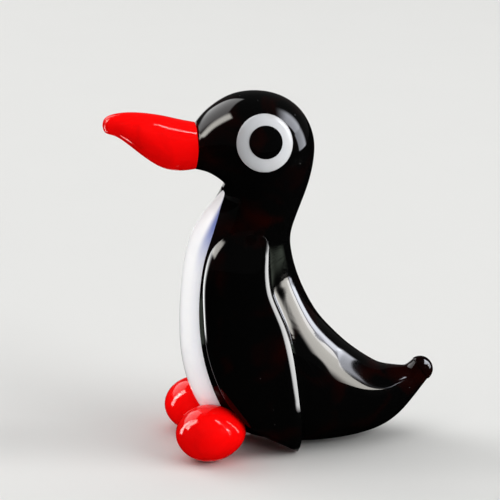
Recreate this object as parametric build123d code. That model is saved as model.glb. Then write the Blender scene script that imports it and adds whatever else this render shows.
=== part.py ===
"""Penguin figurine of flame-worked glass.

A lamp worker builds the bird from soft glass rods: one gather of black glass is drawn into torso, neck and head,
its lower back is pulled out into a tail that ends in a round knob, and the coloured gathers are laid on it and
melted fast: a white breast stripe, two black wings, two white eyes with black pupils, a red beak and two red feet.
Nothing on it moves.

Frame, in millimetres: +Z up from the surface that it stands on, -Y the way the beak points, +X the bird's left side.
The origin lies on that surface, in the middle of the overall length and width.
"""

from build123d import *
import os
from math import sqrt

os.makedirs("parts", exist_ok=True)

# Black glass, from the face that carries the beak to the middle of the tail knob
BODY_HEIGHT = 50.0
BODY_LENGTH = 31.6
BODY_WIDTH = 15.0
TAIL_KNOB_DIAMETER = 3.6

# Beak
BEAK_LENGTH = 12.3
BEAK_RISE = 3.3

# Breast stripe, a bead pressed into the black glass
STRIPE_WIDTH = 7.2
STRIPE_PROUD = 0.7
STRIPE_BED = 1.5

# Wings
WING_PROUD = 0.9

# Eyes, each a white lens in the head with a black lens in it
EYE_DIAMETER = 7.7
EYE_PROUD = 0.65
EYE_BED = 1.0
EYE_LIFT_ANGLE = 19.0
EYE_FORWARD_ANGLE = 2.0
PUPIL_DIAMETER = 4.4
PUPIL_PROUD = 0.25
PUPIL_BED = 0.3

# Feet
FOOT_LENGTH = 9.6
FOOT_WIDTH = 8.2
FOOT_HEIGHT = 7.7
FOOT_SPACING = 11.0
FOOT_FLAT_DEPTH = 0.1

# The middle of the overall length is Y 0, so the beak's seat lies this far forward of it
OVERALL_LENGTH = BEAK_LENGTH + BODY_LENGTH + TAIL_KNOB_DIAMETER / 2
BEAK_SEAT_Y = BEAK_LENGTH - OVERALL_LENGTH / 2

# Cross sections of the black glass, from the beak's seat over the head, down the breast and out along the tail.
# Each is an ellipse across the middle plane. Its lower or front point and its upper or back point are shares of the
# body's length and height, and its half width is a share of the body's width. The last value is how much of their
# full height the wings have there, so that they fade into the shoulders.
BODY_SECTION_SHARES = [
    (-0.008, 0.795, 0.008, 0.920, 0.210, 0.40),
    (0.050, 0.785, 0.053, 0.951, 0.298, 0.40),
    (0.104, 0.762, 0.152, 0.989, 0.402, 0.40),
    (0.122, 0.749, 0.264, 0.998, 0.470, 0.40),
    (0.127, 0.738, 0.370, 0.983, 0.502, 0.40),
    (0.122, 0.726, 0.457, 0.942, 0.510, 0.40),
    (0.108, 0.711, 0.510, 0.862, 0.497, 0.40),
    (0.062, 0.672, 0.486, 0.750, 0.435, 0.40),
    (0.006, 0.612, 0.414, 0.627, 0.395, 0.45),
    (-0.026, 0.545, 0.410, 0.560, 0.410, 0.70),
    (-0.045, 0.445, 0.448, 0.470, 0.445, 1.00),
    (-0.049, 0.340, 0.522, 0.375, 0.475, 1.00),
    (-0.032, 0.230, 0.598, 0.316, 0.490, 1.00),
    (0.045, 0.105, 0.675, 0.267, 0.490, 1.00),
    (0.212, 0.028, 0.752, 0.229, 0.475, 1.00),
    (0.475, -0.003, 0.825, 0.200, 0.425, 1.00),
    (0.720, 0.008, 0.880, 0.193, 0.330, 1.00),
    (0.852, 0.036, 0.916, 0.191, 0.245, 1.00),
    (0.940, 0.083, 0.943, 0.192, 0.172, 1.00),
    (1.031, 0.152, 0.969, 0.208, 0.112, 1.00),
]
NECK_HEIGHT_SHARE = 0.62
TAIL_ROOT_SHARE = 0.72
TAIL_KNOB_HEIGHT_SHARE = 0.180

# Stations along the beak: how far it has run forward, how far its middle has risen, and its half height and half
# width against those of its seat
BEAK_SHARES = [
    (0.157, 0.040, 1.100, 1.030),
    (0.355, 0.205, 1.140, 1.040),
    (0.544, 0.500, 0.965, 0.930),
    (0.705, 0.785, 0.725, 0.750),
    (0.833, 0.965, 0.515, 0.550),
    (0.911, 1.000, 0.418, 0.430),
    (0.962, 0.990, 0.342, 0.350),
    (0.988, 0.983, 0.209, 0.213),
    (0.998, 0.979, 0.073, 0.075),
]

# How much of the breast stripe's full size it has where it crosses each of the black glass's sections, and 0 where
# it doesn't
STRIPE_TAPER_SHARES = [0, 0, 0, 0, 0, 0.20, 0.50, 0.85, 1.00, 1.00, 1.02, 1.08, 1.18, 1.14, 0.60]

# Outline of a wing seen from the side, as shares of the body's length and height: the shoulder, the front edge down
# to the tip, and the rear edge up again
WING_SHOULDER_SHARES = (0.225, 0.640)
WING_FRONT_SHARES = [
    (0.150, 0.625),
    (0.088, 0.595),
    (0.036, 0.550),
    (0.012, 0.480),
    (0.011, 0.395),
    (0.021, 0.312),
    (0.052, 0.235),
    (0.106, 0.160),
    (0.205, 0.088),
    (0.330, 0.040),
]
WING_TIP_SHARES = (0.421, 0.006)
WING_REAR_SHARES = [
    (0.424, 0.060),
    (0.418, 0.130),
    (0.402, 0.210),
    (0.384, 0.290),
    (0.353, 0.380),
    (0.296, 0.470),
    (0.281, 0.545),
    (0.265, 0.605),
]

# How much fuller than the black glass the wings' skin is at its lower corners, where it crosses each of the sections,
# so that the wings' tips stand free of the belly
WING_SPREAD_SHARES = [0, 0, 0, 0, 0, 0, 0, 0, 0, 0, 0, 0, 0.06, 0.22, 0.38, 0.34, 0.10, 0, 0, 0]

# Where the middle of each foot stands, and the middle of the head, which the eyes look out from
FOOT_PLACE_SHARE = 0.033
HEAD_MIDDLE_SHARES = (0.268, 0.846)

# Where the handles of a cubic curve lie along the sides of the square round a quarter circle
QUARTER_ARC_SHARE = 4 / 3 * (sqrt(2) - 1)


def body_point(length_share, height_share):
    """A point of the middle plane, by its shares of the body's length and height."""
    return Vector(0, BEAK_SEAT_Y + length_share * BODY_LENGTH, height_share * BODY_HEIGHT)


def ellipse_section(front, back, half_width, spread=0):
    """An ellipse across the middle plane, from front to back and half_width to each side, as four quarter curves.

    Spread makes the two front quarters fuller."""
    centre = (front + back) / 2
    half_depth = (back - front) / 2
    side = Vector(half_width, 0, 0)
    corners = [-half_depth, side, half_depth, -side]
    handles = [QUARTER_ARC_SHARE + spread, QUARTER_ARC_SHARE, QUARTER_ARC_SHARE, QUARTER_ARC_SHARE + spread]
    quarters = [
        Bezier(centre + start, centre + start + end * handle, centre + end + start * handle, centre + end)
        for start, end, handle in zip(corners, corners[1:] + corners[:1], handles)
    ]
    return Face(Wire(quarters))


def section_ends(section):
    """The front and back points of one of the black glass's sections, and the way from front to back."""
    front = body_point(section[0], section[1])
    back = body_point(section[2], section[3])
    return front, back, (back - front).normalized()


def with_midway_sections(table):
    """The table with one more row halfway between each two, on a smooth curve through them."""
    rows = []
    for here, after in enumerate(table[1:]):
        before = table[max(here - 1, 0)]
        beyond = table[min(here + 2, len(table) - 1)]
        rows.append(table[here])
        rows.append([(9 * (a + b) - c - d) / 16 for a, b, c, d in zip(table[here], after, before, beyond)])
    return rows + [table[-1]]


def black_glass():
    """The whole black gather."""
    sections = []
    for section in with_midway_sections(BODY_SECTION_SHARES):
        front, back, inward = section_ends(section)
        sections.append(ellipse_section(front, back, section[4] * BODY_WIDTH))
    return loft(sections)


def wing_skin():
    """The black gather in the skin that the wings are cut from."""
    table = [(*section, spread) for section, spread in zip(BODY_SECTION_SHARES, WING_SPREAD_SHARES)]
    sections = []
    for section in with_midway_sections(table):
        front, back, inward = section_ends(section)
        proud = WING_PROUD * section[5]
        half_width = section[4] * BODY_WIDTH + proud
        sections.append(ellipse_section(front - inward * proud, back + inward * proud, half_width, section[6]))
    return loft(sections)


def beak_gather():
    """The beak, which starts as wide as its seat and ends in a rounded tip."""
    bottom, top = section_ends(BODY_SECTION_SHARES[0])[:2]
    middle = (bottom + top) / 2
    half_height = (top - bottom).length / 2
    half_width = BODY_SECTION_SHARES[0][4] * BODY_WIDTH
    sections = [ellipse_section(bottom, top, half_width)]
    for run, rise, height, width in BEAK_SHARES:
        centre = middle + Vector(0, -run * BEAK_LENGTH, rise * BEAK_RISE)
        reach = Vector(0, 0, height * half_height)
        sections.append(ellipse_section(centre - reach, centre + reach, width * half_width))
    tip = middle + Vector(0, -BEAK_LENGTH, BEAK_SHARES[-1][1] * BEAK_RISE)
    return loft(sections + [Vertex(tip)])


def stripe_gather():
    """The breast stripe as it was laid on, before it sinks into the black glass."""
    crossed = [pair for pair in zip(BODY_SECTION_SHARES, STRIPE_TAPER_SHARES) if pair[1] > 0]
    sections = []
    for section, taper in crossed:
        front, back, inward = section_ends(section)
        outer = front - inward * STRIPE_PROUD * taper
        inner = front + inward * (2 * STRIPE_BED + STRIPE_PROUD) * taper
        sections.append(ellipse_section(outer, inner, STRIPE_WIDTH / 2 * taper))
    return loft(sections)


def wing_outline():
    """A wing's outline on the middle plane: one smooth curve that starts and ends at the tip."""
    places = [WING_TIP_SHARES, *WING_REAR_SHARES, WING_SHOULDER_SHARES, *WING_FRONT_SHARES, WING_TIP_SHARES]
    return Face(Wire([Spline(*[body_point(*place) for place in places])]))


def lens(diameter, thickness):
    """A flattened ball that lies in the XY plane."""
    return scale(Sphere(diameter / 2), by=(1, 1, thickness / diameter))


def largest(shape):
    """The one solid that a cut leaves, without any chips."""
    return shape.solids().sort_by(SortBy.VOLUME)[-1]


gather = black_glass()

# Eyes, set where a line out of the middle of the head leaves it
look = Vector(1, 0, 0).rotate(Axis.Y, -EYE_LIFT_ANGLE).rotate(Axis.Z, -EYE_FORWARD_ANGLE)
hits = gather.find_intersection_points(Axis(body_point(*HEAD_MIDDLE_SHARES), look))
seat_point, seat_normal = max(hits, key=lambda hit: hit[0].X)
eye_seat = Plane(origin=seat_point, z_dir=seat_normal)
eye_lens = eye_seat * Pos(0, 0, -EYE_BED) * lens(EYE_DIAMETER, 2 * (EYE_BED + EYE_PROUD))
pupil_lens = eye_seat * Pos(0, 0, EYE_PROUD - PUPIL_BED) * lens(PUPIL_DIAMETER, 2 * (PUPIL_BED + PUPIL_PROUD))
left_pupil = pupil_lens
left_eye_white = largest(eye_lens - pupil_lens)

# Head, torso and tail, drawn out of the one gather
neck = Plane.XY.offset(NECK_HEIGHT_SHARE * BODY_HEIGHT)
tail_root = Plane.XZ.offset(-body_point(TAIL_ROOT_SHARE, 0).Y)
knob_middle = body_point(1, TAIL_KNOB_HEIGHT_SHARE)
tail_knob = Pos(knob_middle) * Sphere(TAIL_KNOB_DIAMETER / 2)
head = largest(split(gather, bisect_by=neck, keep=Keep.TOP) - eye_lens - eye_lens.mirror(Plane.YZ))
lower = split(gather, bisect_by=neck, keep=Keep.BOTTOM)
tail = largest(split(lower, bisect_by=tail_root, keep=Keep.BOTTOM) - tail_knob)
torso = largest(split(split(lower, bisect_by=tail_root, keep=Keep.TOP), bisect_by=Plane.XY, keep=Keep.TOP))

beak = beak_gather()
breast_stripe = largest(stripe_gather() - gather)

# Wings, cut from a skin round the black glass
left_wing = largest((wing_skin() & extrude(wing_outline(), BODY_WIDTH, dir=(1, 0, 0))) - gather - breast_stripe)

# Feet, pressed against the breast and stood on small flats
foot_middle = body_point(FOOT_PLACE_SHARE, 0) + Vector(FOOT_SPACING / 2, 0, FOOT_HEIGHT / 2 - FOOT_FLAT_DEPTH)
foot_egg = scale(Sphere(FOOT_WIDTH / 2), by=(1, FOOT_LENGTH / FOOT_WIDTH, FOOT_HEIGHT / FOOT_WIDTH))
foot = split(Pos(foot_middle) * foot_egg, bisect_by=Plane.XY, keep=Keep.TOP)
left_foot = largest(foot - gather - breast_stripe - left_wing)

pieces = {
    "torso": torso,
    "head": head,
    "tail": tail,
    "tail_knob": tail_knob,
    "beak": beak,
    "breast_stripe": breast_stripe,
    "left_wing": left_wing,
    "right_wing": left_wing.mirror(Plane.YZ),
    "left_eye_white": left_eye_white,
    "right_eye_white": left_eye_white.mirror(Plane.YZ),
    "left_pupil": left_pupil,
    "right_pupil": left_pupil.mirror(Plane.YZ),
    "left_foot": left_foot,
    "right_foot": left_foot.mirror(Plane.YZ),
}
for name, piece in pieces.items():
    export_step(piece, f"parts/{name}.step")
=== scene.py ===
"""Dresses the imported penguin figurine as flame-worked glass, on a pale table in soft studio light."""

import bpy
import numpy as np
from bpy.props import FloatProperty, FloatVectorProperty, PointerProperty
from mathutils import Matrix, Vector
from mathutils.bvhtree import BVHTree
from mathutils.kdtree import KDTree


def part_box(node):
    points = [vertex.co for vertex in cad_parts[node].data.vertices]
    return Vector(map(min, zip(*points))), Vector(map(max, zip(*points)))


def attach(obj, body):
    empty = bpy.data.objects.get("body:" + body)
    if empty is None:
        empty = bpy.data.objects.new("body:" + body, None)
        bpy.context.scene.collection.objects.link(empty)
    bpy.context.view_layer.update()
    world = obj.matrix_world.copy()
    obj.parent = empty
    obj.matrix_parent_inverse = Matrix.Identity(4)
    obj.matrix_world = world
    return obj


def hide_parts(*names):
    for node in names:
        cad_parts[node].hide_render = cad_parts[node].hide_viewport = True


bl_info = {
    "name": "Glass penguin",
    "version": (1, 0, 0),
    "blender": (4, 5, 0),
    "location": "View3D > Sidebar > Penguin",
    "description": "Builds a flame-worked glass penguin over its CAD frame",
    "category": "Object",
}

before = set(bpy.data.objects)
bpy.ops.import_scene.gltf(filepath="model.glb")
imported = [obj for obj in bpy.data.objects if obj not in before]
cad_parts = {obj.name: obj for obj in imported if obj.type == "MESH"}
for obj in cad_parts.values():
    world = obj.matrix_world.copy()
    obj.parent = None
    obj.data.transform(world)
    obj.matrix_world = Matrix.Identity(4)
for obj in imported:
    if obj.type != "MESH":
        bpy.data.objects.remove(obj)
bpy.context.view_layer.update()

# The glass's index of refraction, low enough that the pale table stays dim in the black, as in the photograph
GLASS_IOR = 1.25

# The black glass, as in the CAD source. Each row is an ellipse across the middle plane: its lower or front
# point and its upper or back point as shares of the body's length and height, then its half width as a share
# of the body's width.
BODY_ROWS = [
    (-0.008, 0.795, 0.008, 0.920, 0.210),
    (0.050, 0.785, 0.053, 0.951, 0.298),
    (0.104, 0.762, 0.152, 0.989, 0.402),
    (0.122, 0.749, 0.264, 0.998, 0.470),
    (0.127, 0.738, 0.370, 0.983, 0.502),
    (0.122, 0.726, 0.457, 0.942, 0.510),
    (0.108, 0.711, 0.510, 0.862, 0.497),
    (0.062, 0.672, 0.486, 0.750, 0.435),
    (0.006, 0.612, 0.414, 0.627, 0.395),
    (-0.026, 0.545, 0.410, 0.560, 0.410),
    (-0.045, 0.445, 0.448, 0.470, 0.445),
    (-0.049, 0.340, 0.522, 0.375, 0.475),
    (-0.032, 0.230, 0.598, 0.316, 0.490),
    (0.045, 0.105, 0.675, 0.267, 0.490),
    (0.212, 0.028, 0.752, 0.229, 0.475),
    (0.475, -0.003, 0.825, 0.200, 0.425),
    (0.720, 0.008, 0.880, 0.193, 0.330),
    (0.852, 0.036, 0.916, 0.191, 0.245),
    (0.940, 0.083, 0.943, 0.192, 0.172),
    (1.031, 0.152, 0.969, 0.208, 0.112),
]
LAST_ROW = len(BODY_ROWS) - 1
KNOB_HEIGHT_SHARE = 0.180

# The middle of the head, from where each eye looks out, in degrees up and forward from straight sideways
HEAD_MIDDLE_SHARES = (0.268, 0.846)
EYE_LIFT = 19
EYE_FORWARD = 2

# Along the beak: run forward, rise of its middle, half height and half width against those of its seat
BEAK_ROWS = [
    (0.000, 0.000, 1.000, 1.000),
    (0.157, 0.040, 1.100, 1.030),
    (0.355, 0.205, 1.140, 1.040),
    (0.544, 0.500, 0.965, 0.930),
    (0.705, 0.785, 0.725, 0.750),
    (0.833, 0.965, 0.515, 0.550),
    (0.911, 1.000, 0.418, 0.430),
    (0.962, 0.990, 0.342, 0.350),
    (0.990, 0.983, 0.200, 0.205),
    (1.000, 0.979, 0.000, 0.000),
]

# The breast stripe crosses the body's rows from this one on, at these shares of its full size
STRIPE_FIRST_ROW = 5
STRIPE_TAPERS = [0.20, 0.50, 0.85, 1.00, 1.00, 1.02, 1.08, 1.18, 1.14, 0.60]

# A wing's two edges from shoulder to tip, as shares of the body's length and height
WING_SHOULDER = (0.225, 0.652)
WING_FRONT = [
    (0.150, 0.645),
    (0.088, 0.620),
    (0.036, 0.575),
    (0.011, 0.492),
    (0.011, 0.395),
    (0.021, 0.312),
    (0.052, 0.235),
    (0.106, 0.160),
    (0.205, 0.088),
    (0.330, 0.040),
]
WING_REAR = [
    (0.283, 0.612),
    (0.287, 0.545),
    (0.296, 0.470),
    (0.353, 0.380),
    (0.384, 0.290),
    (0.402, 0.210),
    (0.418, 0.130),
    (0.424, 0.060),
]
WING_TIP = (0.421, 0.006)

# The wings lie on the body from this row on. Their skin is fuller than the body at its lower corners, by
# these spreads row by row, so that their tips stand free. Halfway round a corner the skin is fuller by this
# share of the spread.
WING_FIRST_ROW = 6
WING_SPREADS = [0.0] * 12 + [0.06, 0.22, 0.38, 0.34, 0.10, 0.0, 0.0, 0.0]
SPREAD_TO_SKIN = 0.53

# A furrow is only looked for beyond this from the middle plane, below this height, and this near to a wing's
# edge, in metres
FURROW_BOUNDS = (0.0015, 0.036, 0.01)

# How deep the table cuts the feet flat, in metres, and how much narrower they are by the share of their
# length behind their middle, and by its square
FOOT_FLAT = 0.0001
FOOT_NARROWING = (0.14, 0.28)

# The camera's direction from its target in degrees, the target and its distance in metres, the width of its
# sensor in millimetres, and the photograph's focal length and width in pixels
CAMERA_DIRECTION = (80, 18)
CAMERA_TARGET = (0, -0.00313, 0.02782)
CAMERA_DISTANCE = 0.297
SENSOR_WIDTH = 36
FOCAL_PIXELS = 2190
PHOTO_PIXELS = 500

# The painted shade on the table, a soft darker band through the figurine's place: the direction across it,
# the place of its middle along that and how far it reaches to each side, in metres, and how dark it is
PAINTED_SHADE_ACROSS = (0.97, -0.257, 0)
PAINTED_SHADE_PLACE = 0.0045
PAINTED_SHADE_REACH = 0.010
PAINTED_SHADE_DARKNESS = 0.08


class PenguinSizes(bpy.types.PropertyGroup):
    """Sizes of the figurine, the same as in its CAD source"""

    body_height: FloatProperty(name="Body height", description="Table to crown", default=0.050, unit="LENGTH")
    body_length: FloatProperty(
        name="Body length", description="Beak's seat to tail knob's middle", default=0.0316, unit="LENGTH"
    )
    body_width: FloatProperty(
        name="Body width", description="Width that the rows share", default=0.015, unit="LENGTH"
    )
    knob: FloatProperty(
        name="Tail knob", description="Diameter of the tail knob", default=0.0036, unit="LENGTH"
    )
    beak_length: FloatProperty(name="Beak length", description="Seat to tip", default=0.0123, unit="LENGTH")
    beak_rise: FloatProperty(name="Beak rise", description="Rise of the tip", default=0.0033, unit="LENGTH")
    stripe_width: FloatProperty(
        name="Stripe width", description="Width of the stripe", default=0.0072, unit="LENGTH"
    )
    stripe_proud: FloatProperty(
        name="Stripe height", description="How far the stripe stands out", default=0.0007, unit="LENGTH"
    )
    stripe_bed: FloatProperty(
        name="Stripe bed", description="How deep the stripe's middle lies", default=0.0015, unit="LENGTH"
    )
    wing_proud: FloatProperty(
        name="Wing height", description="How far the wings stand out", default=0.0009, unit="LENGTH"
    )
    wing_front_roll: FloatProperty(
        name="Wing front roll", description="Width of the rounded front edges", default=0.0015, unit="LENGTH"
    )
    wing_rear_roll: FloatProperty(
        name="Wing rear roll", description="Width of the rounded rear edges", default=0.0014, unit="LENGTH"
    )
    furrow: FloatProperty(
        name="Furrow", description="How deep the furrow behind each wing is", default=0.0005, unit="LENGTH"
    )
    furrow_reach: FloatProperty(
        name="Furrow reach", description="Where behind the wing it is deepest", default=0.0009, unit="LENGTH"
    )
    eye: FloatProperty(name="Eye", description="Height of an eye", default=0.0077, unit="LENGTH")
    eye_narrowness: FloatProperty(
        name="Eye narrowness", description="Width as a share of its height", default=0.965, subtype="FACTOR"
    )
    eye_proud: FloatProperty(
        name="Eye height", description="How far an eye stands out", default=0.00065, unit="LENGTH"
    )
    eye_bed: FloatProperty(
        name="Eye bed", description="How deep an eye's rim lies", default=0.0010, unit="LENGTH"
    )
    pupil: FloatProperty(name="Pupil", description="Diameter of a pupil", default=0.0044, unit="LENGTH")
    pupil_proud: FloatProperty(
        name="Pupil height", description="How far a pupil stands out", default=0.00025, unit="LENGTH"
    )
    pupil_bed: FloatProperty(
        name="Pupil bed", description="How deep a pupil's rim lies", default=0.0003, unit="LENGTH"
    )


class PenguinColours(bpy.types.PropertyGroup):
    """Colours of the glass and the table"""

    black: FloatVectorProperty(
        name="Black glass", description="Black glass", default=(0.0015, 0.0015, 0.0015), subtype="COLOR"
    )
    # Dark red clouds in the black: partly the glass's own tint, partly painted reflection of the red beak and
    # feet
    red_tint_and_painted_reflection: FloatVectorProperty(
        name="Red in the black",
        description="Where the black glass shows red",
        default=(0.012, 0.001, 0.0005),
        subtype="COLOR",
    )
    white: FloatVectorProperty(
        name="White glass", description="White glass", default=(0.90, 0.90, 0.91), subtype="COLOR"
    )
    red: FloatVectorProperty(
        name="Red glass", description="Red glass", default=(0.92, 0.002, 0.002), subtype="COLOR"
    )
    table: FloatVectorProperty(
        name="Table", description="Table top", default=(0.78, 0.78, 0.765), subtype="COLOR"
    )

def sizes():
    return bpy.context.scene.penguin_sizes


def colours():
    return bpy.context.scene.penguin_colours


def body_point(length_share, height_share):
    """A point of the middle plane, by its shares of the body's length and height.

    The middle of the overall length, from the beak's tip to the knob's far side, is at 0."""
    s = sizes()
    seat = (s.beak_length - s.body_length - s.knob / 2) / 2
    return np.array([0.0, seat + length_share * s.body_length, height_share * s.body_height])


def smooth_step(x, start, end):
    """0 before start, 1 after end, and smooth between."""
    t = np.clip((x - start) / (end - start), 0.0, 1.0)
    return t * t * (3 - 2 * t)


def with_midway_rows(rows):
    """The rows with one more halfway between each two, on a smooth curve through them."""
    rows = np.asarray(rows, float)
    padded = np.vstack([rows[:1], rows, rows[-1:]])
    midway = (9 * (padded[1:-2] + padded[2:-1]) - padded[:-3] - padded[3:]) / 16
    finer = np.empty((2 * len(rows) - 1, rows.shape[1]))
    finer[::2] = rows
    finer[1::2] = midway
    return finer


def spline(rows, t):
    """Points of the smooth cubic B-spline that the rows control, t counting rows, between its end rows."""
    rows = np.asarray(rows, float)
    ends = np.vstack([2 * rows[0] - rows[1], rows, 2 * rows[-1] - rows[-2]])
    t = np.clip(np.asarray(t, float), 0, len(rows) - 1)
    i = np.minimum(t.astype(int), len(rows) - 2)
    f = (t - i)[:, None]
    weights = [(1 - f) ** 3, 3 * f**3 - 6 * f**2 + 4, -3 * f**3 + 3 * f**2 + 3 * f + 1, f**3]
    return sum(w * ends[i + k] for k, w in enumerate(weights)) / 6


def through(points, t):
    """Points at shares t of the way along a smooth curve through the given ones."""
    rows = with_midway_rows(with_midway_rows(points))
    steps = np.r_[0, np.cumsum(np.linalg.norm(np.diff(rows, axis=0), axis=1))]
    fine = spline(rows, np.linspace(0, len(rows) - 1, 800))
    length = np.r_[0, np.cumsum(np.linalg.norm(np.diff(fine, axis=0), axis=1))]
    where = np.asarray(t) * length[-1]
    return np.stack([np.interp(where, length, fine[:, k]) for k in range(rows.shape[1])], 1)


def turn(count):
    """Angles evenly round a full turn."""
    return np.linspace(0, 2 * np.pi, count + 1)[:-1]


def body_rows():
    """The black glass's rows as (front point, back point, half width) in metres."""
    rows = []
    for front_y, front_z, back_y, back_z, width in BODY_ROWS:
        front, back = body_point(front_y, front_z), body_point(back_y, back_z)
        rows.append(np.r_[front, back, width * sizes().body_width])
    return np.array(rows)


def ellipse_points(rows, v):
    """A grid of points from rows of (front, back, half width), at angles v from front over left to back."""
    middle = (rows[:, 0:3] + rows[:, 3:6]) / 2
    depth = (rows[:, 3:6] - rows[:, 0:3]) / 2
    grid = middle[:, None] - depth[:, None] * np.cos(v)[None, :, None]
    grid[..., 0] += rows[:, 6][:, None] * np.sin(v)[None]
    return grid


def body_surface(t, v, spread=0.0):
    """Points of the black glass at pairs of row number and angle, or of the wings' skin where spread is 1."""
    rows = spline(with_midway_rows(body_rows()), 2 * t)
    fuller = spline(with_midway_rows(np.array(WING_SPREADS)[:, None]), 2 * t)[:, 0]
    fuller = 1 + spread * SPREAD_TO_SKIN * fuller * np.sin(2 * v) ** 2 * (np.cos(v) > 0)
    middle = (rows[:, 0:3] + rows[:, 3:6]) / 2
    depth = (rows[:, 3:6] - rows[:, 0:3]) / 2
    points = middle - depth * (np.cos(v) * fuller)[:, None]
    points[:, 0] += rows[:, 6] * np.sin(v) * fuller
    return points


def wing_edges(down):
    """Front and rear edge of a wing on the middle plane, at shares of the way down it."""
    edges = []
    for places in (WING_FRONT, WING_REAR):
        points = [body_point(*place)[1:] for place in [WING_SHOULDER, *places, WING_TIP]]
        edges.append(through(np.array(points), down))
    return edges


def furrowed(points):
    """The body's skin with the furrow that the flame left behind each wing."""
    off_middle, top, widest = FURROW_BOUNDS
    rear = wing_edges(np.linspace(0, 1, 240))[1]
    heading = np.gradient(rear, axis=0)
    heading /= np.linalg.norm(heading, axis=1)[:, None] + 1e-12
    normals = np.cross(np.roll(points, -1, 1) - np.roll(points, 1, 1), np.gradient(points, axis=0))
    normals /= np.linalg.norm(normals, axis=2)[..., None] + 1e-12
    normals *= np.where((points[..., 0] * normals[..., 0]).sum() < 0, -1, 1)
    near = (np.abs(points[..., 0]) > off_middle) & (points[..., 2] < top)
    flat = points[near][:, 1:]
    nearest = np.full(len(flat), np.inf)
    closest = np.zeros(len(flat), int)
    for number, spot in enumerate(rear):
        gap = np.linalg.norm(flat - spot, axis=1)
        closer = gap < nearest
        nearest[closer] = gap[closer]
        closest[closer] = number
    off = flat - rear[closest]
    behind = off[:, 1] * heading[closest, 0] - off[:, 0] * heading[closest, 1]
    # The furrow starts below the shoulder, is half as deep from the middle on, and ends before the tip
    down = closest / (len(rear) - 1)
    fade = smooth_step(down, 0.08, 0.28)
    fade = fade * (1 - 0.5 * smooth_step(down, 0.3, 0.6)) * (1 - smooth_step(down, 0.7, 0.95))
    dip = behind / sizes().furrow_reach * np.exp(1 - behind / sizes().furrow_reach)
    depth = np.zeros(points.shape[:2])
    depth[near] = sizes().furrow * np.where((behind > 0) & (nearest < widest), dip * fade, 0)
    return points - normals * depth[..., None]


def piece(name, grid, material, nodes, painted_side_shade=None):
    """A smooth mesh from rings of points, closed at both ends, that stands for CAD nodes and rides on root.

    The last argument gives each point's share of a blue-grey tint, painted shade and reflection on the
    glass's sides."""
    points = grid.reshape(-1, 3)
    number = np.arange(len(points)).reshape(grid.shape[:2])
    after = np.roll(number, -1, axis=1)
    quads = np.stack([number[:-1], after[:-1], after[1:], number[1:]], -1).reshape(-1, 4)
    ends = [number[0, ::-1].tolist(), number[-1].tolist()]
    mesh = bpy.data.meshes.new(name)
    mesh.from_pydata(points.tolist(), [], quads.tolist() + ends)
    one, two, three, four = (points[quads[:, k]] for k in range(4))
    if (np.cross(one, two) * three + np.cross(one, three) * four).sum() < 0:
        mesh.flip_normals()
    mesh.shade_smooth()
    if painted_side_shade is not None:
        values = painted_side_shade.ravel().astype(np.float32)
        mesh.attributes.new("painted_side_shade", "FLOAT", "POINT").data.foreach_set("value", values)
    mesh.materials.append(material)
    made = bpy.data.objects.new(name, mesh)
    bpy.context.scene.collection.objects.link(made)
    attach(made, "root")
    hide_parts(*nodes)


def mirrored(grid):
    """The same skin on the bird's right side, with its faces still turned outwards."""
    other = grid[:, ::-1].copy()
    other[..., 0] *= -1
    return other


def add_node(tree, kind, place=(0, 0), **values):
    """A shader node with its settings and plain input values."""
    node = tree.nodes.new(kind)
    node.location = place
    for key, value in values.items():
        if key in node.inputs:
            node.inputs[key].default_value = value
        else:
            setattr(node, key, value)
    return node


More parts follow.
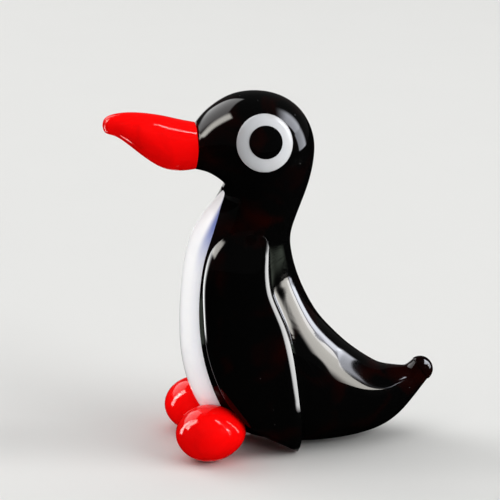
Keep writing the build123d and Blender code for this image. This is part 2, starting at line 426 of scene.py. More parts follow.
def flame_marks():
    """Node group of what the flame leaves on glass: slow ripples, fine grain of roughness and a few specks"""
    made = bpy.data.node_groups.get("flame_marks")
    if made:
        return made
    tree = bpy.data.node_groups.new("flame_marks", "ShaderNodeTree")
    inputs = {"Ripple Size": 0.006, "Speck Size": 0.0009, "Speck Share": 0.05, "Roughness": 0.05}
    for name, default in inputs.items():
        socket = tree.interface.new_socket(name, in_out="INPUT", socket_type="NodeSocketFloat")
        socket.default_value = default
    for name in ("Ripple", "Specks", "Roughness"):
        tree.interface.new_socket(name, in_out="OUTPUT", socket_type="NodeSocketFloat")
    enter = add_node(tree, "NodeGroupInput", (-900, 0))
    leave = add_node(tree, "NodeGroupOutput", (700, 0))
    place = add_node(tree, "ShaderNodeTexCoord", (-900, 300))

    def scale_of(socket, y):
        invert = add_node(tree, "ShaderNodeMath", (-650, y), operation="DIVIDE")
        invert.inputs[0].default_value = 1.0
        tree.links.new(enter.outputs[socket], invert.inputs[1])
        return invert.outputs[0]

    ripple = add_node(tree, "ShaderNodeTexNoise", (-400, 200), Detail=1.0, Roughness=0.4)
    tree.links.new(place.outputs["Object"], ripple.inputs["Vector"])
    tree.links.new(scale_of("Ripple Size", 200), ripple.inputs["Scale"])
    tree.links.new(ripple.outputs["Fac"], leave.inputs["Ripple"])

    cells = add_node(tree, "ShaderNodeTexVoronoi", (-400, -150), feature="F1")
    tree.links.new(place.outputs["Object"], cells.inputs["Vector"])
    tree.links.new(scale_of("Speck Size", -150), cells.inputs["Scale"])
    near = add_node(tree, "ShaderNodeMapRange", (-150, -100))
    near.inputs["From Min"].default_value = 0.10
    near.inputs["From Max"].default_value = 0.04
    tree.links.new(cells.outputs["Distance"], near.inputs["Value"])
    split = add_node(tree, "ShaderNodeSeparateColor", (-150, -350))
    tree.links.new(cells.outputs["Color"], split.inputs["Color"])
    chosen = add_node(tree, "ShaderNodeMath", (50, -350), operation="LESS_THAN")
    tree.links.new(split.outputs["Red"], chosen.inputs[0])
    tree.links.new(enter.outputs["Speck Share"], chosen.inputs[1])
    speck = add_node(tree, "ShaderNodeMath", (250, -200), operation="MULTIPLY")
    tree.links.new(near.outputs["Result"], speck.inputs[0])
    tree.links.new(chosen.outputs[0], speck.inputs[1])
    tree.links.new(speck.outputs[0], leave.inputs["Specks"])

    haze = add_node(tree, "ShaderNodeTexNoise", (-400, -600), Scale=220.0, Detail=2.0)
    tree.links.new(place.outputs["Object"], haze.inputs["Vector"])
    grade = add_node(tree, "ShaderNodeMapRange", (-150, -600))
    grade.inputs["From Min"].default_value = 0.35
    grade.inputs["From Max"].default_value = 0.75
    grade.inputs["To Min"].default_value = 0.6
    grade.inputs["To Max"].default_value = 1.8
    tree.links.new(haze.outputs["Fac"], grade.inputs["Value"])
    rough = add_node(tree, "ShaderNodeMath", (50, -600), operation="MULTIPLY")
    tree.links.new(grade.outputs["Result"], rough.inputs[0])
    tree.links.new(enter.outputs["Roughness"], rough.inputs[1])
    dusty = add_node(tree, "ShaderNodeMath", (300, -500), operation="MULTIPLY_ADD")
    dusty.inputs[1].default_value = 0.4
    tree.links.new(speck.outputs[0], dusty.inputs[0])
    tree.links.new(rough.outputs[0], dusty.inputs[2])
    tree.links.new(dusty.outputs[0], leave.inputs["Roughness"])
    return tree


def clouded_colour():
    """Node group of the glass's colour: two tones in clouds, a third as painted shade and reflection where a
    share is given, and its specks.
    """
    made = bpy.data.node_groups.get("clouded_colour")
    if made:
        return made
    tree = bpy.data.node_groups.new("clouded_colour", "ShaderNodeTree")
    for name in ("Glass", "Cloud", "Painted Side Shade", "Speck"):
        tree.interface.new_socket(name, in_out="INPUT", socket_type="NodeSocketColor")
    for name, default in (("Cloud Size", 0.005), ("Cloud Share", 0.5), ("Specks", 0.0), ("Painted Side Shade Share", 0.0)):
        socket = tree.interface.new_socket(name, in_out="INPUT", socket_type="NodeSocketFloat")
        socket.default_value = default
    tree.interface.new_socket("Colour", in_out="OUTPUT", socket_type="NodeSocketColor")
    enter = add_node(tree, "NodeGroupInput", (-1100, 0))
    leave = add_node(tree, "NodeGroupOutput", (500, 0))
    place = add_node(tree, "ShaderNodeTexCoord", (-1100, 300))
    scale = add_node(tree, "ShaderNodeMath", (-900, 150), operation="DIVIDE")
    scale.inputs[0].default_value = 1.0
    tree.links.new(enter.outputs["Cloud Size"], scale.inputs[1])
    clouds = add_node(tree, "ShaderNodeTexNoise", (-700, 200), Detail=3.0, Distortion=0.6)
    tree.links.new(place.outputs["Object"], clouds.inputs["Vector"])
    tree.links.new(scale.outputs[0], clouds.inputs["Scale"])
    amount = add_node(tree, "ShaderNodeMapRange", (-500, 200))
    amount.inputs["From Min"].default_value = 0.5
    amount.inputs["From Max"].default_value = 0.75
    tree.links.new(clouds.outputs["Fac"], amount.inputs["Value"])
    tree.links.new(enter.outputs["Cloud Share"], amount.inputs["To Max"])
    last = enter.outputs["Glass"]
    shares = {
        "Cloud": amount.outputs["Result"],
        "Painted Side Shade": enter.outputs["Painted Side Shade Share"],
        "Speck": enter.outputs["Specks"],
    }
    for number, (colour, share) in enumerate(shares.items()):
        mix = add_node(tree, "ShaderNodeMix", (200 * number - 250, 0), data_type="RGBA")
        tree.links.new(share, mix.inputs["Factor"])
        tree.links.new(last, mix.inputs[6])
        tree.links.new(enter.outputs[colour], mix.inputs[7])
        last = mix.outputs[2]
    tree.links.new(last, leave.inputs["Colour"])
    return tree


def glass_material(
    name, glass, cloud, cloud_size, cloud_share, ripple_size, ripple_depth, speck, speck_share, painted_side_shade=(0, 0, 0)
):
    """Opaque glass: its clouded colour, the flame's marks in its gloss, and a few specks in its skin."""
    made = bpy.data.materials.get(name)
    if made:
        return made
    material = bpy.data.materials.new(name)
    material.use_nodes = True
    tree = material.node_tree
    shader = tree.nodes["Principled BSDF"]
    shader.inputs["IOR"].default_value = GLASS_IOR
    marks = add_node(tree, "ShaderNodeGroup", (-900, -100), node_tree=flame_marks())
    marks.inputs["Ripple Size"].default_value = ripple_size
    marks.inputs["Speck Share"].default_value = speck_share
    tree.links.new(marks.outputs["Roughness"], shader.inputs["Roughness"])
    bump = add_node(tree, "ShaderNodeBump", (-300, -300), Strength=1.0, Distance=ripple_depth)
    tree.links.new(marks.outputs["Ripple"], bump.inputs["Height"])
    tree.links.new(bump.outputs["Normal"], shader.inputs["Normal"])
    colour = add_node(tree, "ShaderNodeGroup", (-500, 300), node_tree=clouded_colour())
    for socket, value in (("Glass", glass), ("Cloud", cloud), ("Painted Side Shade", painted_side_shade), ("Speck", speck)):
        colour.inputs[socket].default_value = (*value, 1)
    colour.inputs["Cloud Size"].default_value = cloud_size
    colour.inputs["Cloud Share"].default_value = cloud_share
    tree.links.new(marks.outputs["Specks"], colour.inputs["Specks"])
    # The blue-grey tint given per point is painted shade and reflection
    painted_side_shade_share = add_node(tree, "ShaderNodeAttribute", (-800, 500), attribute_name="painted_side_shade")
    tree.links.new(painted_side_shade_share.outputs["Fac"], colour.inputs["Painted Side Shade Share"])
    tree.links.new(colour.outputs["Colour"], shader.inputs["Base Color"])
    return material


def black_glass():
    return glass_material(
        "flamed_black_glass",
        glass=colours().black,
        cloud=colours().red_tint_and_painted_reflection,
        cloud_size=0.006,
        cloud_share=0.8,
        ripple_size=0.007,
        ripple_depth=0.00006,
        speck=(0.05, 0.05, 0.05),
        speck_share=0.05,
    )


def white_glass():
    material = glass_material(
        "flamed_white_glass",
        glass=colours().white,
        cloud=(0.74, 0.76, 0.82),
        cloud_size=0.004,
        cloud_share=0.3,
        ripple_size=0.006,
        ripple_depth=0.00005,
        speck=(0.35, 0.33, 0.32),
        speck_share=0.02,
        # the blue-grey tint painted at the stripe's sides as shade and reflection
        painted_side_shade=(0.16, 0.20, 0.46),
    )
    shader = material.node_tree.nodes["Principled BSDF"]
    shader.inputs["Subsurface Weight"].default_value = 0.15
    shader.inputs["Subsurface Radius"].default_value = (1.0, 0.9, 0.8)
    shader.inputs["Subsurface Scale"].default_value = 0.0008
    return material


# The eyes are white glass given a grey colour, painted shade that keeps them darker than the stripe
def shaded_eye_glass():
    return glass_material(
        "flamed_eye_glass_painted_shade",
        glass=(0.53, 0.54, 0.56),
        cloud=(0.45, 0.43, 0.42),
        cloud_size=0.004,
        cloud_share=0.4,
        ripple_size=0.006,
        ripple_depth=0.00005,
        speck=(0.30, 0.26, 0.24),
        speck_share=0.03,
    )


def red_glass():
    return glass_material(
        "flamed_red_glass",
        glass=colours().red,
        cloud=(0.62, 0.001, 0.001),
        cloud_size=0.004,
        cloud_share=0.5,
        ripple_size=0.006,
        ripple_depth=0.00005,
        speck=(0.55, 0.15, 0.12),
        speck_share=0.02,
    )


class PENGUIN_OT_body(bpy.types.Operator):
    """Builds head, torso, tail and tail knob as the one gather of black glass that they are"""

    bl_idname = "penguin.body"
    bl_label = "Black glass body"

    def execute(self, context):
        rows = with_midway_rows(body_rows())
        rows = spline(rows, np.linspace(0, len(rows) - 1, 640))
        across = rows[-1, 3:6] - rows[-1, 0:3]
        up = across / np.linalg.norm(across)
        along = np.array([0.0, up[2], -up[1]])
        radius = sizes().knob / 2
        knob = []
        for angle in np.radians(np.linspace(4, 89.5, 60)):
            centre = body_point(1, KNOB_HEIGHT_SHARE) + along * radius * np.sin(angle)
            reach = radius * np.cos(angle)
            knob.append(np.r_[centre - up * reach, centre + up * reach, reach])
        to_knob = rows[-1:] + (np.array(knob)[:1] - rows[-1:]) * np.linspace(0, 1, 12)[1:-1, None]
        grid = furrowed(ellipse_points(np.vstack([rows, to_knob, knob]), turn(320)))
        grid[..., 2] = np.maximum(grid[..., 2], 0.0)
        piece("glass_body", grid, black_glass(), ["torso", "head", "tail", "tail_knob"])
        return {"FINISHED"}


def body_places(targets, spread=0.0):
    """Row number and angle of the left side's points that have these (y, z), by Newton's method."""
    numbers, angles = np.linspace(WING_FIRST_ROW, LAST_ROW, 160), np.linspace(0.05, np.pi - 0.05, 90)
    t, v = (values.ravel() for values in np.meshgrid(numbers, angles, indexing="ij"))
    known = KDTree(len(t))
    for number, point in enumerate(body_surface(t, v, spread)):
        known.insert((0.0, point[1], point[2]), number)
    known.balance()
    best = [known.find((0.0, *target))[1] for target in targets]
    t, v = t[best], v[best]
    for _ in range(8):
        here = body_surface(t, v, spread)[:, 1:]
        by_t = (body_surface(t + 1e-3, v, spread)[:, 1:] - here) / 1e-3
        by_v = (body_surface(t, v + 1e-3, spread)[:, 1:] - here) / 1e-3
        miss = targets - here
        size = by_t[:, 0] * by_v[:, 1] - by_t[:, 1] * by_v[:, 0]
        size = np.where(np.abs(size) < 1e-9, 1e-9, size)
        step_t = (miss[:, 0] * by_v[:, 1] - miss[:, 1] * by_v[:, 0]) / size
        step_v = (by_t[:, 0] * miss[:, 1] - by_t[:, 1] * miss[:, 0]) / size
        t = np.clip(t + np.clip(step_t, -0.3, 0.3), 0, LAST_ROW)
        v = np.clip(v + np.clip(step_v, -0.2, 0.2), 0.02, np.pi - 0.02)
    return t, v


def body_normals(t, v, spread=0.0):
    """Outward directions of that surface at pairs of row number and angle."""
    across = body_surface(t, v + 1e-3, spread) - body_surface(t, v - 1e-3, spread)
    along = body_surface(np.minimum(t + 1e-3, LAST_ROW), v, spread) - body_surface(t - 1e-3, v, spread)
    normals = np.cross(across, along)
    normals /= np.linalg.norm(normals, axis=1)[:, None]
    outward = np.sign((normals * (body_surface(t, v) - body_surface(t, v + np.pi))).sum(1))
    return normals * outward[:, None]


def wing_profile(along, width, firm, roll_front, roll_rear):
    """A wing's height over the body as a share of its own, at distances from its front edge across a width.

    The front edge rolls over, the more firmly the further down it is, and the rear edge is a rounded lip."""
    width = np.maximum(width, 1e-5)
    roll_front = np.minimum(roll_front, 0.5 * width)
    roll_rear = np.minimum(roll_rear, 0.4 * width)
    behind = width - along
    front = np.sqrt(1 - (1 - np.clip(along / roll_front, 0, 1)) ** 2)
    front = front * firm + smooth_step(along, -0.0002, roll_front) * (1 - firm)
    ramp = 1 - 0.5 * (1 - np.clip(behind / roll_rear, 0, 1)) ** 1.6
    edge = np.sqrt(1 - (1 - np.clip(behind / (0.16 * roll_rear), 0, 1)) ** 2)
    lip = 1 + 0.20 * np.exp(-(((behind - roll_rear) / roll_rear) ** 2))
    return front * ramp * edge * lip - 0.06


class PENGUIN_OT_wings(bpy.types.Operator):
    """Lays the two wings on the body, with rolled front edges, rear edges raised to a lip, and free tips"""

    bl_idname = "penguin.wings"
    bl_label = "Wings"

    def execute(self, context):
        s = sizes()
        down = np.linspace(0, 1, 260)
        over = (1 - np.cos(np.linspace(0, np.pi, 130))) / 2
        front, rear = wing_edges(down)
        width = np.linalg.norm(rear - front, axis=1)[:, None]
        flat = front[:, None] + (rear - front)[:, None] * over[None, :, None]
        t, v = body_places(flat.reshape(-1, 2), 1.0)
        skin = body_surface(t, v, 1.0).reshape(len(down), len(over), 3)
        normals = body_normals(t, v, 1.0).reshape(skin.shape)
        t, v = body_places(flat.reshape(-1, 2))
        bed = (body_surface(t, v) - body_normals(t, v) * s.wing_proud).reshape(skin.shape)
        # The shoulder rises slowly out of the body in front, sooner behind, and the tip is a little thinner
        rise = smooth_step(down, -0.02, 0.24)[:, None]
        rise = rise + (smooth_step(down, 0.03, 0.15)[:, None] - rise) * smooth_step(over, 0.55, 1.0)
        rise = rise * (1 - 0.3 * smooth_step(down, 0.8, 1.0))[:, None]
        firm = smooth_step(down, 0.05, 0.32)[:, None]
        profile = wing_profile(over * width, width, firm, s.wing_front_roll, s.wing_rear_roll)
        outer = skin + normals * (s.wing_proud * rise * profile)[..., None]
        steps = np.linspace(0, 1, 8)[None, 1:-1, None]
        rear_wall = outer[:, -1:] + (bed[:, -1:] - outer[:, -1:]) * steps
        front_wall = bed[:, :1] + (outer[:, :1] - bed[:, :1]) * steps
        grid = np.concatenate([outer, rear_wall, bed[:, ::-1], front_wall], axis=1)
        grid[..., 2] = np.maximum(grid[..., 2], 0.0002)
        piece("glass_wing_left", grid, black_glass(), ["left_wing"])
        piece("glass_wing_right", mirrored(grid), black_glass(), ["right_wing"])
        return {"FINISHED"}


class PENGUIN_OT_stripe(bpy.types.Operator):
    """Lays the white breast stripe from the throat down between the feet"""

    bl_idname = "penguin.stripe"
    bl_label = "Breast stripe"

    def execute(self, context):
        s = sizes()
        rows = []
        for row, taper in zip(body_rows()[STRIPE_FIRST_ROW:], STRIPE_TAPERS):
            inward = (row[3:6] - row[0:3]) / np.linalg.norm(row[3:6] - row[0:3])
            outer = row[0:3] - inward * s.stripe_proud * taper
            inner = row[0:3] + inward * (2 * s.stripe_bed + s.stripe_proud) * taper
            rows.append(np.r_[outer, inner, s.stripe_width / 2 * taper])
        rows = with_midway_rows(rows)
        rows = spline(rows, np.linspace(0, len(rows) - 1, 240))
        around = turn(128)
        down = np.linspace(0, 1, len(rows))[:, None]
        # Painted shade and reflection: a blue-grey tint at its two sides, mostly in its upper half
        painted_side_shade = smooth_step(np.abs(np.sin(around)), 0.72, 0.97)[None]
        painted_side_shade = painted_side_shade * (1 - 0.9 * smooth_step(down, 0.25, 0.5))
        grid = ellipse_points(rows, around)
        piece("glass_breast_stripe", grid, white_glass(), ["breast_stripe"], painted_side_shade)
        return {"FINISHED"}


class PENGUIN_OT_beak(bpy.types.Operator):
    """Draws the red beak out of its seat to a rounded tip"""

    bl_idname = "penguin.beak"
    bl_label = "Beak"

    def execute(self, context):
        seat = body_rows()[0]
        middle = (seat[0:3] + seat[3:6]) / 2
        half_height = np.linalg.norm(seat[3:6] - seat[0:3]) / 2
        rows = []
        for run, rise, height, width in BEAK_ROWS:
            centre = middle + np.array([0.0, -run * sizes().beak_length, rise * sizes().beak_rise])
            reach = np.array([0.0, 0.0, height * half_height])
            rows.append(np.r_[centre - reach, centre + reach, width * seat[6]])
        rows = with_midway_rows(rows)
        rows = spline(rows, np.linspace(0, len(rows) - 1, 200))
        piece("glass_beak", ellipse_points(rows, turn(96))[::-1], red_glass(), ["beak"])
        return {"FINISHED"}


def lens_grid(diameter, thickness):
    """A flattened ball round the Z axis, as rings from its bottom to its top."""
    lift = np.linspace(-np.pi / 2 + 0.01, np.pi / 2 - 0.01, 90)
    around = turn(128)
    ring = np.cos(lift)[:, None] * diameter / 2
    top = np.broadcast_to(np.sin(lift)[:, None] * thickness / 2, (len(lift), len(around)))
    return np.stack([ring * np.cos(around), ring * np.sin(around), top], -1)


class PENGUIN_OT_eyes(bpy.types.Operator):
    """Sets the domed white eyes into the head, each with its black pupil"""

    bl_idname = "penguin.eyes"
    bl_label = "Eyes"

    def execute(self, context):
        s = sizes()
        mesh = bpy.data.objects["glass_body"].data
        tree = BVHTree.FromPolygons([v.co for v in mesh.vertices], [p.vertices for p in mesh.polygons])
        lift, forward = np.radians(EYE_LIFT), np.radians(EYE_FORWARD)
        look = Vector((np.cos(lift) * np.cos(forward), -np.cos(lift) * np.sin(forward), np.sin(lift)))
        start = Vector(body_point(*HEAD_MIDDLE_SHARES)) + look * s.body_width
        seat, normal, _, _ = tree.ray_cast(start, -look)
        turned = np.array(normal.to_track_quat("Z", "Y").to_matrix())
        white = lens_grid(s.eye, 2 * (s.eye_bed + s.eye_proud)) + np.array([0, 0, -s.eye_bed])
        white[..., 0] *= s.eye_narrowness
        pupil = lens_grid(s.pupil, 2 * (s.pupil_bed + s.pupil_proud))
        pupil = pupil + np.array([0, 0, s.eye_proud - s.pupil_bed])
        for name, grid, material, slot in (
            ("eye_white", white, shaded_eye_glass(), "white_glass"),
            ("pupil", pupil, black_glass(), "black_glass"),
        ):
            left = grid @ turned.T + np.array(seat)
            piece(f"glass_{name}_left", left, material, [f"left_{name}"])
            piece(f"glass_{name}_right", mirrored(left), material, [f"right_{name}"])
        return {"FINISHED"}


class PENGUIN_OT_feet(bpy.types.Operator):
    """Stands the two red egg-shaped feet on the table"""

    bl_idname = "penguin.feet"
    bl_label = "Feet"

    def execute(self, context):
        low, high = (np.array(corner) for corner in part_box("left_foot"))
        middle, size = (low + high) / 2, high - low
        size[2] += FOOT_FLAT
        middle[2] = high[2] - size[2] / 2
        egg = lens_grid(1.0, 1.0)
        behind = egg[..., 1:2]
        egg[..., ::2] *= 1 - FOOT_NARROWING[0] * behind - FOOT_NARROWING[1] * behind**2
        left = egg * size + middle
        left[..., 2] = np.maximum(left[..., 2], 0.0)
        piece("glass_foot_left", left, red_glass(), ["left_foot"])
        piece("glass_foot_right", mirrored(left), red_glass(), ["right_foot"])
        return {"FINISHED"}


def direction(azimuth, elevation):
    """The direction at these degrees round from the bird's front over its left, and up from the table."""
    azimuth, elevation = np.radians(azimuth), np.radians(elevation)
    level = np.cos(elevation)
    return Vector((np.sin(azimuth) * level, -np.cos(azimuth) * level, np.sin(elevation)))


def panel(
    name, azimuth, elevation, wide, tall, radiance, shows=True, lights=True, distance=1.0, facing=None,
    soft=(0, 0, 0, 0), tint=(1, 1, 1), only=()
):
    """A panel of light seen from the figurine in that direction and at that size, all in degrees.

    One that shows is mirrored in the glass, and one that lights adds to the even light. Its back points in
    the facing direction, outwards if none is given. Soft is how much of it fades out at its left, right,
    lower and upper edge, and only keeps it to some pieces."""
    out = direction(azimuth, elevation)
    data = bpy.data.lights.new(name, "AREA")
    data.shape = "RECTANGLE"
    data.size = 2 * distance * np.tan(np.radians(wide / 2))
    data.size_y = 2 * distance * np.tan(np.radians(tall / 2))
    data.energy = radiance * np.pi * data.size * data.size_y
    data.color = tint
    light = bpy.data.objects.new(name, data)
    light.location = Vector((0, 0, sizes().body_height / 2)) + out * distance
    light.rotation_euler = (direction(*facing) if facing else out).to_track_quat("Z", "Y").to_euler()
    light.visible_camera = False
    light.visible_glossy = shows
    light.visible_diffuse = lights
    bpy.context.scene.collection.objects.link(light)
    if any(soft):
        fade_edges(data, soft)
    if only:
        light.light_linking.receiver_collection = bpy.data.collections.new(name + "_pieces")
        for piece_name in only:
            light.light_linking.receiver_collection.objects.link(bpy.data.objects[piece_name])


def fade_edges(lamp, soft):
    """Fades a panel's light out over these shares of it at its left, right, lower and upper edge."""
    lamp.use_nodes = True
    tree = lamp.node_tree
    place = add_node(tree, "ShaderNodeNewGeometry", (-900, 0))
    split = add_node(tree, "ShaderNodeSeparateXYZ", (-700, 0))
    tree.links.new(place.outputs["Parametric"], split.inputs[0])
    last = None
    for number, (axis, edge, share) in enumerate(zip("XXYY", (0, 1, 0, 1), soft)):
        fade = add_node(tree, "ShaderNodeMapRange", (-450, -250 * number), interpolation_type="SMOOTHSTEP")
        fade.inputs["From Min"].default_value = edge
        fade.inputs["From Max"].default_value = edge + max(share, 0.001) * (1 - 2 * edge)
        tree.links.new(split.outputs[axis], fade.inputs["Value"])
        if last:
            both = add_node(tree, "ShaderNodeMath", (-200, -250 * number), operation="MULTIPLY")
            tree.links.new(last, both.inputs[0])
            tree.links.new(fade.outputs["Result"], both.inputs[1])
            last = both.outputs[0]
        else:
            last = fade.outputs["Result"]
    tree.links.new(last, tree.nodes["Emission"].inputs["Strength"])


def black_card(first, last, near, far):
    """A black card round the figurine between two directions, seen only in the glass, which it keeps dark.

    Near and far are the reach and the height of its inner and outer edge."""
    corners, faces = [], []
    for azimuth in np.radians(np.linspace(first, last, 41)):
        for reach, height in (near, far):
            corners.append((np.sin(azimuth) * reach, -np.cos(azimuth) * reach, height))
    for number in range(0, len(corners) - 2, 2):
        faces.append((number, number + 1, number + 3, number + 2))
    mesh = bpy.data.meshes.new("card")
    mesh.from_pydata(corners, [], faces)
    material = bpy.data.materials.new("card")
    material.use_nodes = True
    shader = material.node_tree.nodes["Principled BSDF"]
    shader.inputs["Base Color"].default_value = (0.002, 0.002, 0.002, 1)
    shader.inputs["Specular IOR Level"].default_value = 0.0
    shader.inputs["Roughness"].default_value = 1.0
    mesh.materials.append(material)
    card = bpy.data.objects.new("card", mesh)
    bpy.context.scene.collection.objects.link(card)
    for ray in ("camera", "diffuse", "transmission", "volume_scatter", "shadow"):
        setattr(card, "visible_" + ray, False)


def set_camera():
    """The photograph's view of the figurine."""
    back = direction(*CAMERA_DIRECTION)
    camera = bpy.data.objects.new("camera", bpy.data.cameras.new("camera"))
    camera.data.sensor_width = SENSOR_WIDTH
    camera.data.lens = SENSOR_WIDTH * FOCAL_PIXELS / PHOTO_PIXELS
    camera.data.clip_start = 0.01
    camera.location = Vector(CAMERA_TARGET) + back * CAMERA_DISTANCE
    camera.rotation_euler = back.to_track_quat("Z", "Y").to_euler()
    bpy.context.scene.collection.objects.link(camera)
    bpy.context.scene.camera = camera


def table_top():
    """The matt pale table top, barely mottled, with painted shade in a soft darker band across it under the
    figurine.
    """
    material = bpy.data.materials.new("table_top")
    material.use_nodes = True
    tree = material.node_tree
    shader = tree.nodes["Principled BSDF"]
    shader.inputs["Roughness"].default_value = 0.9
    shader.inputs["Specular IOR Level"].default_value = 0.0
    place = add_node(tree, "ShaderNodeTexCoord", (-900, 0))
    noise = add_node(tree, "ShaderNodeTexNoise", (-650, 0), Scale=60.0, Detail=4.0)
    tree.links.new(place.outputs["Object"], noise.inputs["Vector"])
    tone = add_node(tree, "ShaderNodeMix", (-350, 0), data_type="RGBA")
    tone.inputs[6].default_value = (*[0.985 * c for c in colours().table], 1)
    tone.inputs[7].default_value = (*colours().table, 1)
    tree.links.new(noise.outputs["Fac"], tone.inputs["Factor"])
    # Painted shade: a soft darker band across the table under the figurine
    across = add_node(tree, "ShaderNodeVectorMath", (-900, -300), operation="DOT_PRODUCT")
    across.inputs[1].default_value = PAINTED_SHADE_ACROSS
    tree.links.new(place.outputs["Object"], across.inputs[0])
    away = add_node(tree, "ShaderNodeMath", (-700, -300), operation="SUBTRACT")
    away.inputs[1].default_value = PAINTED_SHADE_PLACE
    tree.links.new(across.outputs["Value"], away.inputs[0])
    apart = add_node(tree, "ShaderNodeMath", (-500, -300), operation="ABSOLUTE")
    tree.links.new(away.outputs[0], apart.inputs[0])
    painted_shade_band = add_node(tree, "ShaderNodeMapRange", (-300, -300), interpolation_type="SMOOTHSTEP")
    painted_shade_band.inputs["From Max"].default_value = PAINTED_SHADE_REACH
    painted_shade_band.inputs["To Min"].default_value = PAINTED_SHADE_DARKNESS
    painted_shade_band.inputs["To Max"].default_value = 0.0
    tree.links.new(apart.outputs[0], painted_shade_band.inputs["Value"])
    shade = add_node(tree, "ShaderNodeMix", (-100, 0), data_type="RGBA")
    shade.inputs[7].default_value = (0, 0, 0, 1)
    tree.links.new(painted_shade_band.outputs["Result"], shade.inputs["Factor"])
    tree.links.new(tone.outputs[2], shade.inputs[6])
    tree.links.new(shade.outputs[2], shader.inputs["Base Color"])
    return material


def lay_table():
    """The table under the figurine, wide enough to fill every view."""
    mesh = bpy.data.meshes.new("table")
    mesh.from_pydata([(-8, -8, 0), (8, -8, 0), (8, 8, 0), (-8, 8, 0)], [], [(0, 1, 2, 3)])
    mesh.materials.append(table_top())
    table = bpy.data.objects.new("table", mesh)
    bpy.context.scene.collection.objects.link(table)


def dim_room():
    """The faint grey light that comes from all round."""
    world = bpy.data.worlds.new("studio")
    world.use_nodes = True
    background = world.node_tree.nodes["Background"]
    background.inputs["Color"].default_value = (0.06, 0.06, 0.06, 1)
    background.inputs["Strength"].default_value = 1.0
    bpy.context.scene.world = world


def lay_cards():
    """The black cards that keep lamps and table out of the glass where the photograph shows it black."""
    for card in (
        (-75, 250, (0.0005, 0.001), (3.0, 0.001)),  # over the table, open only on the bird's right
        (120, 240, (0.008, 0.033), (0.042, 0.033)),  # over the windows behind, for the neck
        (-30, 40, (0.006, 0.036), (0.013, 0.036)),  # in front of the breast, for the throat
        (120, 240, (0.012, 0.0385), (0.062, 0.0385)),  # over the windows behind, for the head
        (125, 175, (0.027, 0.0), (0.027, 0.0142)),  # a low wall behind, for the tail's underside
    ):
        black_card(*card)


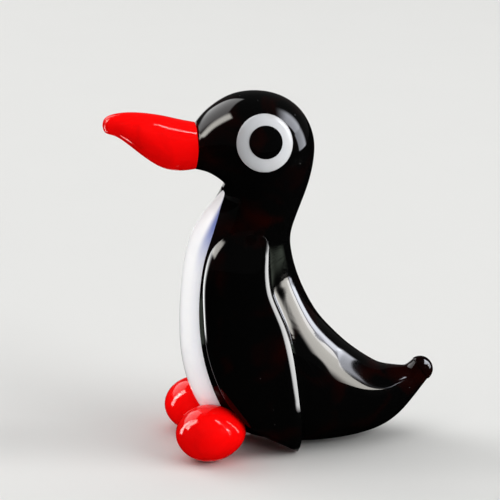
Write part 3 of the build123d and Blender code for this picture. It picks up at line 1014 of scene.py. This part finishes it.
def hang_lamps():
    """The lamps: fills that only light the pieces, and windows that are only mirrored in them."""
    body, stripe = ["glass_body"], ["glass_breast_stripe"]
    wings = ["glass_wing_left", "glass_wing_right"]
    eyes = ["glass_eye_white_left", "glass_eye_white_right"]
    far_foot = ["glass_foot_right"]
    reds = ["glass_foot_left", *far_foot, "glass_beak"]
    cream, lilac, green = (1.0, 0.97, 0.90), (0.88, 0.91, 1.0), (0.85, 1.0, 0.8)

    panel("overhead", -100, 84, 80, 70, 1.25, shows=False)
    panel("left_fill", -40, 28, 45, 40, 2.5, shows=False)
    panel("right_fill", 150, 25, 50, 40, 3.7, shows=False)
    panel("front_fill", 88, 42, 50, 30, 2.2, shows=False, only=reds + stripe)
    panel("far_fill", 40, 15, 50, 40, 1.5, shows=False, only=far_foot)
    panel("eye_fill", 130, 10, 50, 40, 3.0, shows=False, only=eyes)
    panel("breast_fill", 35, 5, 60, 40, 2.3, shows=False, only=stripe)

    # In front of the bird
    panel(
        "left_window", -47, 38, 56, 44, 4.0,
        lights=False, soft=(0.05, 0.3, 0.15, 0.1), only=body + eyes + reds + stripe
    )
    panel(
        "left_lobe", -9, 39, 24, 44, 26.0,
        lights=False, soft=(0.5, 0.3, 0.1, 0.1), tint=cream, only=body + reds
    )
    panel(
        "left_high", -14, 24, 34, 28, 22.0,
        lights=False, soft=(0.3, 0.3, 0.2, 0.2), tint=cream, only=wings
    )
    panel(
        "left_low", -30, -2, 50, 60, 20.0,
        lights=False, distance=0.035, soft=(0.2, 0.3, 0.1, 0.2), only=wings
    )
    panel(
        "left_dim", 2, -21, 20, 20, 1.8,
        lights=False, distance=0.05, soft=(0.2, 0.2, 0.2, 0.2), tint=green, only=body
    )
    panel(
        "left_foot_glow", -10, -2.5, 15, 63, 22.0,
        lights=False, distance=0.0466, soft=(0.4, 0.4, 0.2, 0.3), only=reds
    )

    # Behind the bird
    panel(
        "right_window", 157, 1.7, 40, 10, 30.0,
        lights=False, distance=0.06, soft=(0.3, 0.05, 0.15, 0.03), tint=cream, only=body
    )
    panel(
        "right_pane", 187, 1.7, 16, 10, 20.0,
        lights=False, distance=0.06, soft=(0.05, 0.3, 0.1, 0.05), tint=lilac, only=body
    )
    panel(
        "right_sill", 177.5, 9, 45, 5, 20.0,
        lights=False, distance=0.061, soft=(0.2, 0.2, 0.1, 0.1), tint=lilac, only=body
    )
    panel(
        "right_dim", 167.5, -13, 55, 16, 1.8,
        lights=False, distance=0.0616, soft=(0.4, 0.4, 0.5, 0.5), tint=green, only=body
    )
    panel(
        "back_window", -176, 9.5, 30, 24, 12.0,
        lights=False, soft=(0.1, 0.3, 0.1, 0.1), tint=lilac, only=body + eyes
    )
    panel(
        "head_window", 181, 53.6, 26, 38, 17.0,
        lights=False, distance=0.061, soft=(0.1, 0.4, 0.1, 0.4), tint=lilac, only=body + eyes
    )
    panel(
        "knob_window", 177.8, -20.7, 12, 10, 30.0,
        lights=False, distance=0.0283, facing=(0, 90), soft=(0.1, 0.1, 0.1, 0.1), tint=lilac, only=body
    )
    panel(
        "right_low", 148, -20.5, 32, 69, 34.0,
        lights=False, distance=0.0235, facing=(167, 0), soft=(0.3, 0.2, 0.05, 0.15), only=wings
    )
    panel("right_strip", 151, 34, 7, 74, 24.0, lights=False, only=reds)


class PENGUIN_OT_stage(bpy.types.Operator):
    """Sets the pale table, the soft panels of light and the camera"""

    bl_idname = "penguin.stage"
    bl_label = "Stage"

    def execute(self, context):
        context.scene.view_settings.view_transform = "Standard"
        set_camera()
        lay_table()
        dim_room()
        lay_cards()
        hang_lamps()
        return {"FINISHED"}


class PENGUIN_PT_panel(bpy.types.Panel):
    """Lists the figurine's pieces, sizes and colours"""

    bl_idname = "PENGUIN_PT_panel"
    bl_label = "Glass penguin"
    bl_space_type = "VIEW_3D"
    bl_region_type = "UI"
    bl_category = "Penguin"

    def draw(self, context):
        for group in (context.scene.penguin_sizes, context.scene.penguin_colours):
            for name in group.__annotations__:
                self.layout.prop(group, name)
        for operator in OPERATORS:
            self.layout.operator(operator.bl_idname)


OPERATORS = [
    PENGUIN_OT_body,
    PENGUIN_OT_wings,
    PENGUIN_OT_stripe,
    PENGUIN_OT_beak,
    PENGUIN_OT_eyes,
    PENGUIN_OT_feet,
    PENGUIN_OT_stage,
]
CLASSES = [PenguinSizes, PenguinColours, *OPERATORS, PENGUIN_PT_panel]


def register():
    for item in CLASSES:
        bpy.utils.register_class(item)
    bpy.types.Scene.penguin_sizes = PointerProperty(type=PenguinSizes)
    bpy.types.Scene.penguin_colours = PointerProperty(type=PenguinColours)


def unregister():
    del bpy.types.Scene.penguin_colours
    del bpy.types.Scene.penguin_sizes
    for item in reversed(CLASSES):
        bpy.utils.unregister_class(item)


def main():
    register()
    bpy.ops.penguin.body()
    bpy.ops.penguin.wings()
    bpy.ops.penguin.stripe()
    bpy.ops.penguin.beak()
    bpy.ops.penguin.eyes()
    bpy.ops.penguin.feet()
    bpy.ops.penguin.stage()


if __name__ == "__main__":
    main()
